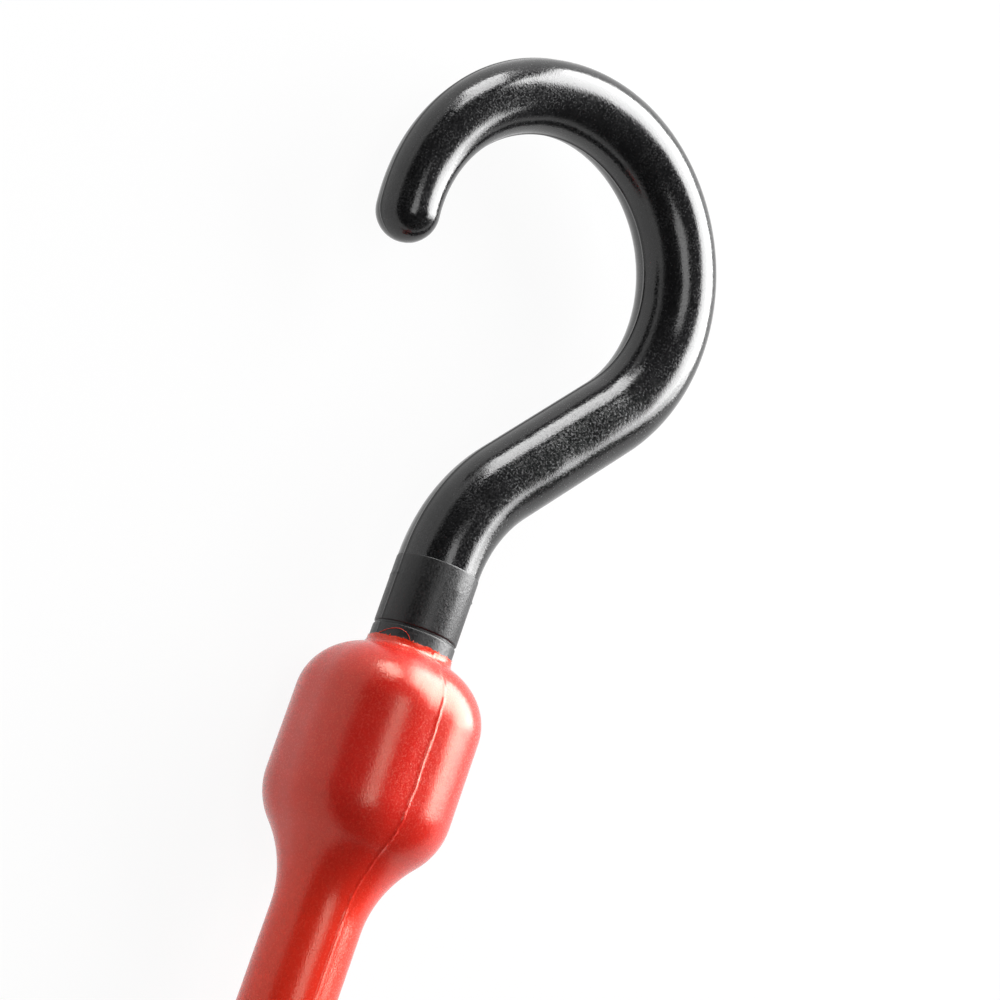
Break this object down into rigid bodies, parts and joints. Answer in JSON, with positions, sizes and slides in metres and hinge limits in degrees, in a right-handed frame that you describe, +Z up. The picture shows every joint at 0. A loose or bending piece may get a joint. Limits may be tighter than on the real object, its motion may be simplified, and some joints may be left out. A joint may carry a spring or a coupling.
{
  "type": "bungee cord",
  "caption": "Straight moulded elastic cord with a rounded square bulb at each end and a swivelling question-mark hook in each bulb, for tying loads down.",
  "frame": {"origin": "under the middle of the cord, on the surface that the bulbs' flats lie on", "axes": "+X along the cord from hook a to hook b, +Z up, square to the plane of both hooks"},
  "size_m": [0.3046, 0.0442, 0.0184],
  "materials": {
    "hook_nylon": "glossy black glass-filled nylon with a fine moulded grain",
    "cord_urethane": "satin red moulded polyurethane with a fine moulded grain"
  },
  "bodies": {
    "cord_end_a": {"end_bulb_a": "cord_urethane", "elastic_cord": "cord_urethane"},
    "cord_end_b": {"end_bulb_b": "cord_urethane"},
    "hook_a": {"hook_a": "hook_nylon"},
    "hook_b": {"hook_b": "hook_nylon"}
  },
  "joints": [
    {"name": "cord_stretch", "type": "slide", "parent": "cord_end_a", "child": "cord_end_b", "axis": [1, 0, 0], "range_m": [0, 0.11], "stiffness_N_per_m": 1500, "deforming": ["elastic_cord"]},
    {"name": "hook_a_swivel", "type": "hinge", "parent": "cord_end_a", "child": "hook_a", "pos_m": [-0.0871, 0, 0.0092], "axis": [1, 0, 0], "continuous": true},
    {"name": "hook_b_swivel", "type": "hinge", "parent": "cord_end_b", "child": "hook_b", "pos_m": [0.0871, 0, 0.0092], "axis": [1, 0, 0], "continuous": true}
  ]
}
